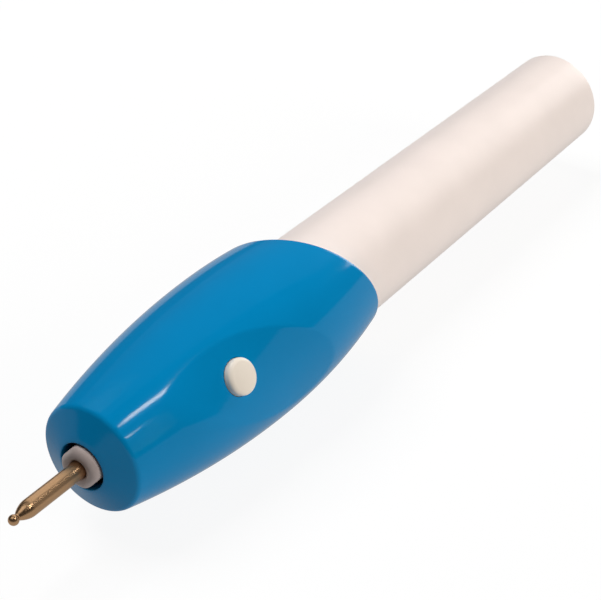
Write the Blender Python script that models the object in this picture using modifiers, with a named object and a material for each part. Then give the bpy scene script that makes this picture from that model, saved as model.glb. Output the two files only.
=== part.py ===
"""Battery-powered engraving pen, modelled as the pieces it comes apart into.

Every piece is drawn in the pen's own frame, in millimetres: Z runs along the pen from the mouth
of the nose (0) towards the battery end, and X points out through the button. One empty,
pen_frame, lays that frame down in the world: the nose points along -Y, the widest part of the
barrel touches the ground, and the button is turned up and towards +X.
"""
import math

import bmesh
import bpy
from mathutils import Matrix, Vector

MM = 0.001

# How the pen lies
BUTTON_TURN = math.radians(63)      # the button's lean from straight up towards +X

# Front housing: an ovoid barrel whose radius falls with the square of the distance from its widest place
BARREL_RADIUS = 14.0
WIDEST_AT = 41.0
SHOULDER_AT = 3.3                   # the barrel starts here, behind the nose's rounded edge
SHOULDER_RADIUS = 9.6
BARREL_END = 69.0                   # how far back the barrel is turned before its rim is cut
BARREL_END_RADIUS = 10.75
NOSE_HOLE_RADIUS = 4.1
NOSE_RIM_RADIUS = 8.15              # where the nose's sloping face meets its rounded edge
NOSE_RIM_AT = 1.75
NOSE_WALL = 2.2
NOSE_BORE_RADIUS = 7.6
NOSE_BORE_END = 14.0
CHASSIS_BORE_RADIUS = 10.0
TUBE_STOP_AT = 48.0                 # the step that the battery tube stops against
TUBE_BORE_RADIUS = 10.6
RIM_AT = 59.6                       # where the slanted rim crosses the pen's axis
RIM_SLANT = math.radians(32.5)
RIM_LONG_SIDE = math.radians(63)    # the rim's longest side, round from the button

# Finger dish round the button
DISH_AT = 30.1
DISH_ROUND = math.radians(7.6)      # the dish's middle, round from the button
DISH_DEPTH = 1.4
DISH_ACROSS_RADIUS = 27.0
DISH_ALONG_RADIUS = 92.3
DISH_PITCH = math.radians(4.1)
DISH_YAW = math.radians(17.2)
DISH_HALF_LENGTH = 26.0

# Battery tube
TUBE_FRONT = 48.3
TUBE_REAR = 151.8
TUBE_FRONT_RADIUS = 10.4
TUBE_REAR_RADIUS = 9.6
TUBE_WALL = 1.6
TUBE_END_WALL = 2.1
TUBE_EDGE_RADIUS = 0.8
RIB_COUNT = 4
RIB_THICKNESS = 1.2
RIB_INNER_RADIUS = 5.55
RIB_FRONT = 58.0
RIB_REAR = 148.4

# Cells and contacts: two AAA cells in line
CELL_RADIUS = 5.25
CELL_LENGTH = 44.5
CELL_NUB_RADIUS = 2.75
CELL_NUB_HEIGHT = 1.0
CELL_FRONT = 53.5
TOUCH = 0.3                         # gap left between pieces that touch
FITTED = 0.15                       # gap round a pin, shaft or screw that is held tight
RUNNING = 0.1                       # gap round what turns

# Button and switch
BUTTON_AT = 26.1
BUTTON_RADIUS = 3.05
BUTTON_TOP = 13.5
BUTTON_EDGE_RADIUS = 0.6
BUTTON_FLANGE_RADIUS = 4.1
BUTTON_FLANGE_TOP = 8.95
BUTTON_FLANGE_THICKNESS = 0.8
BUTTON_STEM_RADIUS = 1.8
BUTTON_STEM_BOTTOM = 7.65
BLOCK_TOP = 5.4
BLOCK_HEIGHT = 2.8
BLOCK_WIDTH = 9.0
BLOCK_LENGTH = 7.8
LEAF = 0.3                          # thickness of the contact strips
CONTACT_SPREAD = 3.0

# Chassis
CHASSIS_RADIUS = 9.7
CHASSIS_FRONT = 17.0
CHASSIS_REAR = 45.9
CHASSIS_WALL_HALF = 6.9             # the frame is open above and below this

# Bulkhead and its screws, behind the chassis
BULKHEAD_FRONT = CHASSIS_REAR + TOUCH
BULKHEAD_REAR = TUBE_STOP_AT
BOSS_REAR = 51.4
BOSS_RADIUS = 4.4
SCREW_OFFSET = 7.8
SCREW_RADIUS = 0.8
SCREW_FRONT = 40.0
SCREW_HEAD_RADIUS = 1.2
SCREW_HEAD_HEIGHT = 0.8
RETURN_AT = 7.55                    # the return strip's distance from the pen's axis
WIRE_RADIUS = 0.45

# Motor: a small can motor, round with two flats
MOTOR_FRONT = 30.5
MOTOR_CAN_REAR = 42.0
MOTOR_REAR = 44.7
MOTOR_RADIUS = 6.0
MOTOR_HALF_FLAT = 5.0
CAN_WALL = 0.5
SHAFT_RADIUS = 0.75
SHAFT_FRONT = 13.5
SHAFT_REAR = 44.4
BUSH_RADIUS = 1.7
ARMATURE_RADIUS = 3.6
ARMATURE_FRONT = 32.6
ARMATURE_REAR = 38.8
POLE_COUNT = 3
COMMUTATOR_RADIUS = 1.9
COMMUTATOR_FRONT = 40.2
COMMUTATOR_REAR = 41.8
MAGNET_INNER = 4.1
MAGNET_OUTER = 5.25
MAGNET_HALF_ANGLE = math.radians(50)

# Tip and its holder
HOLDER_FRONT = -1.05
HOLDER_HEAD_RADIUS = 3.65
HOLDER_HEAD_REAR = 4.6
HOLDER_SLEEVE_RADIUS = 3.0
HOLDER_REAR = 20.0
HOLDER_HALF_FLAT = 3.2
HOLDER_FLAT_TURN = math.radians(70)
HOLDER_EDGE_RADIUS = 1.2
TIP_RADIUS = 1.45
TIP_REAR = 9.5
BALL_RADIUS = 0.86
BALL_AT = -15.16
NECK_RADIUS = 0.58
NECK_AT = -14.3
TAPER_END = -11.7
BEARING_FRONT = 6.0
BEARING_REAR = 10.0

FULL_TURN = 2 * math.pi
ROUND_STEPS = 60                    # round the housing and tube
SMALL_STEPS = 30                    # round most turned pieces
FINE_STEPS = 20                     # round shafts, screws and other thin pieces

PARTS = None
CUTTERS = None
FRAME = None


# ---------------------------------------------------------------- helpers

def clear_scene():
    for item in list(bpy.data.objects):
        bpy.data.objects.remove(item, do_unlink=True)


def new_collection(name):
    collection = bpy.data.collections.new(name)
    bpy.context.scene.collection.children.link(collection)
    return collection


def material(name, colour, roughness, metallic=0.0):
    surface = bpy.data.materials.new(name)
    surface.use_nodes = True
    shader = surface.node_tree.nodes["Principled BSDF"]
    shader.inputs["Base Color"].default_value = (*colour, 1.0)
    shader.inputs["Roughness"].default_value = roughness
    shader.inputs["Metallic"].default_value = metallic
    return surface


def add_object(name, data, at=0.0, cutter=False):
    """Link an object under the pen's frame, with its origin on the pen's axis at the given place."""
    item = bpy.data.objects.new(name, data)
    (CUTTERS if cutter else PARTS).objects.link(item)
    item.parent = FRAME
    item.location = (0, 0, at * MM)
    if cutter:
        item.hide_render = True
        item.display_type = "WIRE"
    return item


def turned(name, profile, closed=False, steps=SMALL_STEPS, cutter=False):
    """Turn a profile of (radius, place) points about the pen's axis; it runs from rear to front."""
    mesh = bpy.data.meshes.new(name)
    points = [(radius * MM, 0, place * MM) for radius, place in profile]
    edges = [(index, index + 1) for index in range(len(points) - 1)]
    if closed:
        edges.append((len(points) - 1, 0))
    mesh.from_pydata(points, edges, [])
    item = add_object(name, mesh, cutter=cutter)
    screw = item.modifiers.new("turn", "SCREW")
    screw.axis = "Z"
    screw.angle = FULL_TURN
    screw.steps = steps
    screw.render_steps = steps
    screw.use_merge_vertices = True
    screw.merge_threshold = 0.00001
    screw.use_smooth_shade = True
    return item


def ring(name, outer, inner, front, rear, steps=SMALL_STEPS, cutter=False):
    profile = [(outer, rear), (outer, front), (inner, front), (inner, rear)]
    return turned(name, profile, closed=True, steps=steps, cutter=cutter)


def rod(name, radius, front, rear, steps=SMALL_STEPS, cutter=False):
    return turned(name, [(0, rear), (radius, rear), (radius, front), (0, front)], steps=steps, cutter=cutter)


def box(name, low, high, turn=0.0, cutter=False):
    """A box between two corners in the pen's frame, turned about the pen's axis."""
    mesh = bpy.data.meshes.new(name)
    shape = bmesh.new()
    bmesh.ops.create_cube(shape, size=1.0)
    size = Vector(high) - Vector(low)
    middle = (Vector(high) + Vector(low)) / 2
    bmesh.ops.scale(shape, vec=size * MM, verts=shape.verts)
    bmesh.ops.translate(shape, vec=middle * MM, verts=shape.verts)
    bmesh.ops.rotate(shape, cent=(0, 0, 0), matrix=Matrix.Rotation(turn, 3, "Z"), verts=shape.verts)
    shape.to_mesh(mesh)
    shape.free()
    return add_object(name, mesh, cutter=cutter)


def as_mesh(item):
    """Swap a curve for the mesh it makes, with its caps welded on."""
    graph = bpy.context.evaluated_depsgraph_get()
    mesh = bpy.data.meshes.new_from_object(item.evaluated_get(graph))
    shape = bmesh.new()
    shape.from_mesh(mesh)
    bmesh.ops.remove_doubles(shape, verts=shape.verts, dist=0.000001)
    shape.to_mesh(mesh)
    shape.free()
    solid = bpy.data.objects.new(item.name + "_solid", mesh)
    for collection in item.users_collection:
        collection.objects.link(solid)
    solid.parent = item.parent
    solid.matrix_world = item.matrix_world
    solid.hide_render = item.hide_render
    solid.display_type = item.display_type
    name = item.name
    bpy.data.objects.remove(item, do_unlink=True)
    solid.name = name
    return solid


def plate(name, outlines, front, rear, cutter=False):
    """A flat plate across the pen: its outlines filled, inner ones as holes, and given a thickness."""
    curve = bpy.data.curves.new(name, "CURVE")
    curve.dimensions = "2D"
    curve.fill_mode = "BOTH"
    curve.extrude = (rear - front) / 2 * MM
    for outline in outlines:
        spline = curve.splines.new("POLY")
        spline.points.add(len(outline) - 1)
        for point, (across, up) in zip(spline.points, outline):
            point.co = (across * MM, up * MM, 0, 1)
        spline.use_cyclic_u = True
    item = add_object(name, curve, at=(front + rear) / 2, cutter=cutter)
    bpy.context.view_layer.update()
    return as_mesh(item)


def wire(name, points, radius):
    """A round wire along points in the pen's frame."""
    curve = bpy.data.curves.new(name, "CURVE")
    curve.dimensions = "3D"
    curve.bevel_depth = radius * MM
    curve.bevel_resolution = 1
    curve.use_fill_caps = True
    spline = curve.splines.new("POLY")
    spline.points.add(len(points) - 1)
    for point, place in zip(spline.points, points):
        point.co = (place[0] * MM, place[1] * MM, place[2] * MM, 1)
    item = add_object(name, curve)
    bpy.context.view_layer.update()
    return as_mesh(item)


def combine(item, tool, operation="DIFFERENCE", solver="EXACT"):
    change = item.modifiers.new(tool.name, "BOOLEAN")
    change.object = tool
    change.operation = operation
    change.solver = solver


def arc(centre, radius, start, end, steps):
    """Points on an arc in a profile or outline plane."""
    turns = [start + (end - start) * step / steps for step in range(steps + 1)]
    return [(centre[0] + radius * math.cos(turn), centre[1] + radius * math.sin(turn)) for turn in turns]


def smooth_path(points, steps):
    """A Catmull-Rom curve through the given points."""
    ends = [points[0]] + list(points) + [points[-1]]
    path = []
    for index in range(1, len(ends) - 2):
        a, b, c, d = (Vector(ends[index + offset]) for offset in (-1, 0, 1, 2))
        for step in range(steps):
            t = step / steps
            path.append(0.5 * (2 * b + (c - a) * t + (2 * a - 5 * b + 4 * c - d) * t ** 2
                               + (3 * b - a - 3 * c + d) * t ** 3))
    path.append(Vector(points[-1]))
    return path


def paint(item, surface):
    item.data.materials.clear()
    item.data.materials.append(surface)
    if item.type == "MESH" and not item.modifiers:
        item.data.shade_smooth()
        item.data.set_sharp_from_angle(angle=math.radians(35))
    return item


# ---------------------------------------------------------------- housing and tube

def barrel_radius(place):
    """The ovoid barrel: its radius falls with the square of the distance from the widest place."""
    if place < WIDEST_AT:
        reach = (WIDEST_AT - place) / (WIDEST_AT - SHOULDER_AT)
        return BARREL_RADIUS - (BARREL_RADIUS - SHOULDER_RADIUS) * reach ** 2
    reach = (place - WIDEST_AT) / (BARREL_END - WIDEST_AT)
    return BARREL_RADIUS - (BARREL_RADIUS - BARREL_END_RADIUS) * reach ** 2


def nose_edge():
    """The rounded edge between the barrel and the nose's sloping face, as a curve through its tangents."""
    start = Vector((SHOULDER_RADIUS, SHOULDER_AT))
    end = Vector((NOSE_RIM_RADIUS, NOSE_RIM_AT))
    side_slope = 2 * (BARREL_RADIUS - SHOULDER_RADIUS) / (WIDEST_AT - SHOULDER_AT)
    face_slope = NOSE_RIM_AT / (NOSE_RIM_RADIUS - NOSE_HOLE_RADIUS)
    # the corner is where the barrel's tangent and the nose's face would meet
    corner_radius = (start.y - start.x / side_slope + face_slope * NOSE_HOLE_RADIUS) / (face_slope - 1 / side_slope)
    corner = Vector((corner_radius, face_slope * (corner_radius - NOSE_HOLE_RADIUS)))
    steps = 5
    edge = []
    for step in range(1, steps):
        t = step / steps
        edge.append((1 - t) ** 2 * start + 2 * t * (1 - t) * corner + t ** 2 * end)
    return [tuple(point) for point in edge] + [tuple(end)]


def front_housing():
    station_count = 12
    stations = [BARREL_END + (SHOULDER_AT - BARREL_END) * step / station_count for step in range(station_count + 1)]
    outer = [(barrel_radius(place), place) for place in stations]
    face = [(NOSE_HOLE_RADIUS, 0)]
    inner = [
        (NOSE_HOLE_RADIUS, NOSE_WALL),
        (NOSE_BORE_RADIUS, NOSE_RIM_AT + NOSE_WALL),
        (NOSE_BORE_RADIUS, NOSE_BORE_END),
        (CHASSIS_BORE_RADIUS, NOSE_BORE_END),
        (CHASSIS_BORE_RADIUS, TUBE_STOP_AT),
        (TUBE_BORE_RADIUS, TUBE_STOP_AT),
        (TUBE_BORE_RADIUS, BARREL_END),
    ]
    housing = turned("front_housing", outer + nose_edge() + face + inner, closed=True, steps=ROUND_STEPS)
    combine(housing, rim_cutter())
    combine(housing, dish_cutter())
    combine(housing, cross_rod("button_hole", BUTTON_RADIUS + TOUCH, BUTTON_FLANGE_TOP, BARREL_RADIUS + 2))
    return housing


def rim_cutter():
    """A block whose front face is the slanted plane of the rear rim."""
    block = box("rim_cutter", (-30, -30, 0), (30, 30, 40), cutter=True)
    block.location.z = RIM_AT * MM
    lean = Matrix.Rotation(RIM_LONG_SIDE, 3, "Z") @ Matrix.Rotation(-RIM_SLANT, 3, "Y")
    block.rotation_euler = lean.to_euler()
    return block


def dish_cutter():
    """A ring turned about an axis beside the pen: its inner face sweeps out the shallow finger dish."""
    steps = 10
    inner = []
    for step in range(steps + 1):
        along = DISH_HALF_LENGTH * (2 * step / steps - 1)
        inner.append((DISH_ACROSS_RADIUS + along ** 2 / (2 * DISH_ALONG_RADIUS), along))
    outer = DISH_ACROSS_RADIUS + 8
    profile = [(outer, DISH_HALF_LENGTH), (outer, -DISH_HALF_LENGTH)] + inner
    cutter = turned("dish_cutter", profile, closed=True, steps=90, cutter=True)
    floor = barrel_radius(DISH_AT) - DISH_DEPTH
    tilt = Matrix.Rotation(DISH_YAW, 4, "X") @ Matrix.Rotation(DISH_PITCH, 4, "Y")
    place = Matrix.Translation((floor * MM, 0, DISH_AT * MM))
    to_axis = Matrix.Translation((-DISH_ACROSS_RADIUS * MM, 0, 0))
    cutter.matrix_local = Matrix.Rotation(DISH_ROUND, 4, "Z") @ place @ tilt @ to_axis
    return cutter


def tube_radius(place):
    share = (place - TUBE_FRONT) / (TUBE_REAR - TUBE_FRONT)
    return TUBE_FRONT_RADIUS + (TUBE_REAR_RADIUS - TUBE_FRONT_RADIUS) * share


def battery_tube():
    edge_at = TUBE_REAR - TUBE_EDGE_RADIUS
    edge_centre = (tube_radius(edge_at) - TUBE_EDGE_RADIUS, edge_at)
    edge = arc(edge_centre, TUBE_EDGE_RADIUS, math.pi / 2, 0, 4)
    inner_rear = TUBE_REAR - TUBE_END_WALL
    profile = [(0, TUBE_REAR)] + edge + [
        (TUBE_FRONT_RADIUS, TUBE_FRONT),
        (TUBE_FRONT_RADIUS - TUBE_WALL, TUBE_FRONT),
        (tube_radius(inner_rear) - TUBE_WALL, inner_rear),
        (0, inner_rear),
    ]
    tube = turned("battery_tube", profile, steps=ROUND_STEPS)
    for index in range(RIB_COUNT):
        turn = FULL_TURN * (index + 0.5) / RIB_COUNT
        reach = TUBE_REAR_RADIUS - TUBE_WALL / 2
        low = (RIB_INNER_RADIUS, -RIB_THICKNESS / 2, RIB_FRONT)
        high = (reach, RIB_THICKNESS / 2, RIB_REAR)
        combine(tube, box(f"tube_rib_{index + 1}", low, high, turn=turn, cutter=True), "UNION")
    return tube


# ---------------------------------------------------------------- button and switch

def cross_rod(name, radius, bottom, top):
    """A cutter rod along the button's axis."""
    rod_item = rod(name, radius, bottom, top, cutter=True)
    rod_item.location = (0, 0, BUTTON_AT * MM)
    rod_item.rotation_euler = (0, math.pi / 2, 0)
    return rod_item


def on_button_axis(item):
    """Stand a piece that was drawn about Z up on the button's axis."""
    item.location = (0, 0, BUTTON_AT * MM)
    item.rotation_euler = (0, math.pi / 2, 0)
    return item


def button_cap():
    dome = 0.35
    edge = arc((BUTTON_RADIUS - BUTTON_EDGE_RADIUS, BUTTON_TOP - dome - BUTTON_EDGE_RADIUS),
               BUTTON_EDGE_RADIUS, math.radians(75), 0, 3)
    flange_bottom = BUTTON_FLANGE_TOP - BUTTON_FLANGE_THICKNESS
    profile = [(0, BUTTON_TOP), (BUTTON_RADIUS / 2, BUTTON_TOP - dome / 4)] + edge + [
        (BUTTON_RADIUS, BUTTON_FLANGE_TOP),
        (BUTTON_FLANGE_RADIUS, BUTTON_FLANGE_TOP),
        (BUTTON_FLANGE_RADIUS, flange_bottom),
        (BUTTON_STEM_RADIUS, flange_bottom),
        (BUTTON_STEM_RADIUS, BUTTON_STEM_BOTTOM),
        (0, BUTTON_STEM_BOTTOM),
    ]
    return on_button_axis(turned("button_cap", profile))


def contact_bridge():
    top = BUTTON_STEM_BOTTOM - TOUCH
    reach = CONTACT_SPREAD + 0.8
    return box("contact_bridge", (top - LEAF, -1.2, BUTTON_AT - reach), (top, 1.2, BUTTON_AT + reach))


def coil(radius_start, radius_end, start, end, turns, steps_per_turn=10):
    points = []
    count = turns * steps_per_turn
    for step in range(count + 1):
        share = step / count
        angle = FULL_TURN * turns * share
        radius = radius_start + (radius_end - radius_start) * share
        points.append((radius * math.cos(angle), radius * math.sin(angle), start + (end - start) * share))
    return points


def button_spring():
    wire_radius = 0.16
    bottom = BLOCK_TOP - BLOCK_HEIGHT + 0.8 + TOUCH + wire_radius
    top = BUTTON_STEM_BOTTOM - TOUCH - LEAF - TOUCH - wire_radius
    return on_button_axis(wire("button_spring", coil(1.2, 1.2, bottom, top, 4), wire_radius))


def switch_block():
    half_width = BLOCK_WIDTH / 2
    half_length = BLOCK_LENGTH / 2
    low = (BLOCK_TOP - BLOCK_HEIGHT, -half_width, BUTTON_AT - half_length)
    block = box("switch_block", low, (BLOCK_TOP, half_width, BUTTON_AT + half_length))
    combine(block, cross_rod("spring_well", 1.7, BLOCK_TOP - BLOCK_HEIGHT + 0.8, BLOCK_TOP + 1))
    return block


def switch_contact(name, side):
    """A fixed contact strip lying across the switch block, in front of or behind the button."""
    middle = BUTTON_AT + side * CONTACT_SPREAD
    bottom = BLOCK_TOP + TOUCH
    return box(name, (bottom, -3.6, middle - 0.7), (bottom + LEAF, 3.6, middle + 0.7))


# ---------------------------------------------------------------- chassis and bulkhead

def chassis():
    frame = rod("chassis", CHASSIS_RADIUS, CHASSIS_FRONT, CHASSIS_REAR, steps=40)
    far = CHASSIS_RADIUS + 1
    front = CHASSIS_FRONT + 2.5
    rear = CHASSIS_REAR - 2.0
    combine(frame, box("chassis_top_gap", (CHASSIS_WALL_HALF, -far, front), (far, far, rear), cutter=True))
    combine(frame, box("chassis_lower_gap", (-far, -far, front), (-CHASSIS_WALL_HALF, far, rear), cutter=True))
    pocket = plate("motor_pocket", [flat_sided(MOTOR_RADIUS + TOUCH, MOTOR_HALF_FLAT + TOUCH)],
                   MOTOR_FRONT - TOUCH, CHASSIS_REAR + 1, cutter=True)
    combine(frame, pocket)
    half_width = BLOCK_WIDTH / 2 + TOUCH
    half_length = BLOCK_LENGTH / 2 + TOUCH
    switch_low = (BLOCK_TOP - BLOCK_HEIGHT - TOUCH, -half_width, BUTTON_AT - half_length)
    combine(frame, box("switch_pocket", switch_low, (far, half_width, BUTTON_AT + half_length), cutter=True))
    combine(frame, rod("shaft_way", HOLDER_SLEEVE_RADIUS + TOUCH, CHASSIS_FRONT - 1, HOLDER_REAR + 0.6, cutter=True))
    combine(frame, rod("boss_way", BUSH_RADIUS + 2 * TOUCH, HOLDER_REAR, MOTOR_FRONT, cutter=True))
    combine(frame, box("wire_way_top", (5, -2, rear - 1), (far, 2, CHASSIS_REAR + 1), cutter=True))
    combine(frame, box("wire_way_lower", (-far, -2, rear - 1), (-4.5, 2, CHASSIS_REAR + 1), cutter=True))
    for side in (-1, 1):
        combine(frame, screw_way(f"chassis_screw_way_{side + 2}", side, SCREW_RADIUS + FITTED,
                                 SCREW_FRONT - 1, CHASSIS_REAR + 1))
    return frame


def screw_way(name, side, radius, front, rear):
    way = rod(name, radius, front, rear, steps=FINE_STEPS, cutter=True)
    way.location.y = side * SCREW_OFFSET * MM
    return way


def bulkhead():
    profile = [(0, BOSS_REAR), (BOSS_RADIUS, BOSS_REAR), (BOSS_RADIUS, BULKHEAD_REAR),
               (CHASSIS_RADIUS, BULKHEAD_REAR), (CHASSIS_RADIUS, BULKHEAD_FRONT), (0, BULKHEAD_FRONT)]
    disc = turned("bulkhead", profile, steps=40)
    ways = [rod("contact_wire_way", 0.8, BULKHEAD_FRONT - 1, BOSS_REAR + 1, cutter=True)]
    return_way = rod("return_wire_way", 0.8, BULKHEAD_FRONT - 1, BULKHEAD_REAR + 1, cutter=True)
    return_way.location.x = -RETURN_AT * MM
    ways.append(return_way)
    for side in (-1, 1):
        ways.append(screw_way(f"bulkhead_screw_way_{side + 2}", side, SCREW_RADIUS + FITTED,
                              BULKHEAD_FRONT - 1, BULKHEAD_REAR + 1))
        ways.append(screw_way(f"bulkhead_counterbore_{side + 2}", side, SCREW_HEAD_RADIUS + TOUCH,
                              BULKHEAD_REAR - SCREW_HEAD_HEIGHT - TOUCH, BULKHEAD_REAR + 1))
    for way in ways:
        combine(disc, way, solver="MANIFOLD")
    return disc


def bulkhead_screw(name, side):
    head_rear = BULKHEAD_REAR
    head_front = head_rear - SCREW_HEAD_HEIGHT
    profile = [(0, head_rear - 0.15), (SCREW_HEAD_RADIUS * 0.75, head_rear - 0.15),
               (SCREW_HEAD_RADIUS, head_rear - 0.4), (SCREW_HEAD_RADIUS, head_front),
               (SCREW_RADIUS, head_front), (SCREW_RADIUS, SCREW_FRONT + 1.2), (0, SCREW_FRONT)]
    screw = turned(name, profile, steps=FINE_STEPS)
    screw.location.y = side * SCREW_OFFSET * MM
    slot = box(name + "_slot", (-3, side * SCREW_OFFSET - 0.2, head_rear - 0.45),
               (3, side * SCREW_OFFSET + 0.2, head_rear + 1), cutter=True)
    combine(screw, slot)
    return screw


def front_contact():
    """A domed spring-metal button that the front cell's nub presses on."""
    front = BOSS_REAR + TOUCH
    top = CELL_FRONT - TOUCH
    profile = [(0, top), (1.2, top - 0.1), (2.0, top - 0.7), (3.4, front + LEAF), (3.4, front), (0, front)]
    return turned("front_contact", profile)


def return_contact():
    """A flat tab on the bulkhead that the tube's return strip meets."""
    front = BULKHEAD_REAR + TOUCH
    return box("return_contact", (-RETURN_AT - 0.7, -1.5, front), (-RETURN_AT + 1.4, 1.5, front + LEAF))


def return_strip():
    front = BULKHEAD_REAR + 2 * TOUCH + LEAF + 0.1
    rear = TUBE_REAR - TUBE_END_WALL - 2 * TOUCH - 0.4
    return box("return_strip", (-RETURN_AT - LEAF / 2, -1.5, front), (-RETURN_AT + LEAF / 2, 1.5, rear))


def rear_plate():
    rear = TUBE_REAR - TUBE_END_WALL - TOUCH
    return rod("rear_plate", 7.4, rear - 0.4, rear)


def rear_spring():
    wire_radius = 0.4
    front = CELL_FRONT + 2 * CELL_LENGTH + 2 * TOUCH + wire_radius
    rear = TUBE_REAR - TUBE_END_WALL - 2 * TOUCH - 0.4 - wire_radius
    return wire("rear_spring", coil(2.2, 4.2, front, rear, 4, steps_per_turn=12), wire_radius)


def cell(name, front):
    rear = front + CELL_LENGTH
    shoulder = front + CELL_NUB_HEIGHT
    profile = [(0, rear), (CELL_RADIUS - 0.4, rear), (CELL_RADIUS, rear - 0.3), (CELL_RADIUS, shoulder + 0.4),
               (CELL_RADIUS - 0.5, shoulder), (CELL_NUB_RADIUS, shoulder), (CELL_NUB_RADIUS, front + 0.2),
               (CELL_NUB_RADIUS - 0.2, front), (0, front)]
    return turned(name, profile)


# ---------------------------------------------------------------- motor

def flat_sided(radius, half_flat):
    """A circle cut off by two flats, which face the button and away from it."""
    corner = math.acos(half_flat / radius)
    steps = 12
    right = arc((0, 0), radius, corner, math.pi - corner, steps)
    left = arc((0, 0), radius, math.pi + corner, FULL_TURN - corner, steps)
    return right + left


def circle(radius, steps=20):
    return arc((0, 0), radius, 0, FULL_TURN * (steps - 1) / steps, steps - 1)


def motor_can():
    can = plate("motor_can", [flat_sided(MOTOR_RADIUS, MOTOR_HALF_FLAT)], MOTOR_FRONT, MOTOR_CAN_REAR)
    inside = plate("can_inside", [flat_sided(MOTOR_RADIUS - CAN_WALL, MOTOR_HALF_FLAT - CAN_WALL)],
                   MOTOR_FRONT + CAN_WALL, MOTOR_CAN_REAR + 1, cutter=True)
    combine(can, inside)
    combine(can, rod("can_bush_way", BUSH_RADIUS + FITTED, MOTOR_FRONT - 1, MOTOR_FRONT + 1, cutter=True))
    return can


def magnet(name, turn):
    outline = arc((0, 0), MAGNET_OUTER, turn - MAGNET_HALF_ANGLE, turn + MAGNET_HALF_ANGLE, 10)
    outline += arc((0, 0), MAGNET_INNER, turn + MAGNET_HALF_ANGLE, turn - MAGNET_HALF_ANGLE, 10)
    return plate(name, [outline], MOTOR_FRONT + CAN_WALL + TOUCH, ARMATURE_REAR + 0.6)


def motor_end_bell():
    front = MOTOR_CAN_REAR + TOUCH
    return plate("motor_end_bell", [flat_sided(MOTOR_RADIUS, MOTOR_HALF_FLAT), circle(BUSH_RADIUS + FITTED)],
                 front, MOTOR_REAR)


def bush(name, front, rear):
    return ring(name, BUSH_RADIUS, SHAFT_RADIUS + RUNNING, front, rear, steps=FINE_STEPS)


def brush(name, side):
    """A leaf brush that lies against the commutator, in the end of the can."""
    inner = side * (COMMUTATOR_RADIUS + 0.1)
    outer = side * (COMMUTATOR_RADIUS + 0.1 + LEAF)
    low = (min(inner, outer), -2.2, COMMUTATOR_FRONT + 0.3)
    return box(name, low, (max(inner, outer), 2.2, COMMUTATOR_REAR - 0.2))


def motor_terminal(name, side):
    across = side * 3.2
    front = MOTOR_REAR + TOUCH
    return box(name, (across - 0.9, -0.2, front), (across + 0.9, 0.2, front + 1.0))


def motor_shaft():
    return rod("motor_shaft", SHAFT_RADIUS, SHAFT_FRONT, SHAFT_REAR, steps=FINE_STEPS)


def on_circle(radius, turn):
    return (radius * math.cos(turn), radius * math.sin(turn))


def armature_core():
    """Three mushroom-shaped poles on a hub, round the shaft."""
    neck_half = 0.7
    shoe_inner = 2.95
    hub = 1.55
    shoe_half = math.radians(50)
    outline = []
    for pole in range(POLE_COUNT):
        turn = FULL_TURN * pole / POLE_COUNT
        neck_at_hub = math.asin(neck_half / hub)
        neck_at_shoe = math.asin(neck_half / shoe_inner)
        outline.append(on_circle(hub, turn - neck_at_hub))
        outline += arc((0, 0), shoe_inner, turn - neck_at_shoe, turn - shoe_half, 3)
        outline += arc((0, 0), ARMATURE_RADIUS, turn - shoe_half, turn + shoe_half, 8)
        outline += arc((0, 0), shoe_inner, turn + shoe_half, turn + neck_at_shoe, 3)
        outline.append(on_circle(hub, turn + neck_at_hub))
        gap = FULL_TURN / POLE_COUNT - 2 * neck_at_hub
        outline += arc((0, 0), hub, turn + neck_at_hub, turn + neck_at_hub + gap, 4)[1:-1]
    return plate("armature_core", [outline, circle(SHAFT_RADIUS + FITTED)], ARMATURE_FRONT, ARMATURE_REAR)


def winding(index):
    """A rectangular coil round one pole's neck."""
    turn = FULL_TURN * index / POLE_COUNT
    coil_half = 1.6
    low = (1.75, -coil_half, ARMATURE_FRONT - 0.9)
    high = (2.3, coil_half, ARMATURE_REAR + 0.9)
    block = box(f"winding_{index + 1}", low, high, turn=turn)
    way = box(f"winding_way_{index + 1}", (1, -0.9, ARMATURE_FRONT - 0.25), (4, 0.9, ARMATURE_REAR + 0.25),
              turn=turn, cutter=True)
    combine(block, way)
    return block


def commutator():
    return ring("commutator", COMMUTATOR_RADIUS, SHAFT_RADIUS + FITTED, COMMUTATOR_FRONT, COMMUTATOR_REAR)


# ---------------------------------------------------------------- tip

def tip_holder():
    """The grey sleeve that the shaft turns: a two-flatted head in the nose, with a bore for the tip."""
    front = HOLDER_FRONT
    edge = arc((HOLDER_HEAD_RADIUS - HOLDER_EDGE_RADIUS, front + HOLDER_EDGE_RADIUS), HOLDER_EDGE_RADIUS,
               0, -math.pi / 2, 3)
    shaft_bore = SHAFT_RADIUS + FITTED
    tip_bore = TIP_RADIUS + FITTED
    recess = tip_bore + 0.3
    profile = [(HOLDER_SLEEVE_RADIUS, HOLDER_REAR), (HOLDER_SLEEVE_RADIUS, HOLDER_HEAD_REAR),
               (HOLDER_HEAD_RADIUS, HOLDER_HEAD_REAR)] + edge + [
        (recess, front), (tip_bore, front + 0.3), (tip_bore, TIP_REAR + TOUCH),
        (shaft_bore, TIP_REAR + TOUCH), (shaft_bore, HOLDER_REAR)]
    holder = turned("tip_holder", profile, closed=True)
    far = HOLDER_HEAD_RADIUS + 2
    for side in (-1, 1):
        low = (min(side * HOLDER_HALF_FLAT, side * far), -far, front - 1)
        high = (max(side * HOLDER_HALF_FLAT, side * far), far, HOLDER_HEAD_REAR)
        combine(holder, box(f"holder_flat_{side + 2}", low, high, turn=HOLDER_FLAT_TURN, cutter=True))
    return holder


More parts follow.
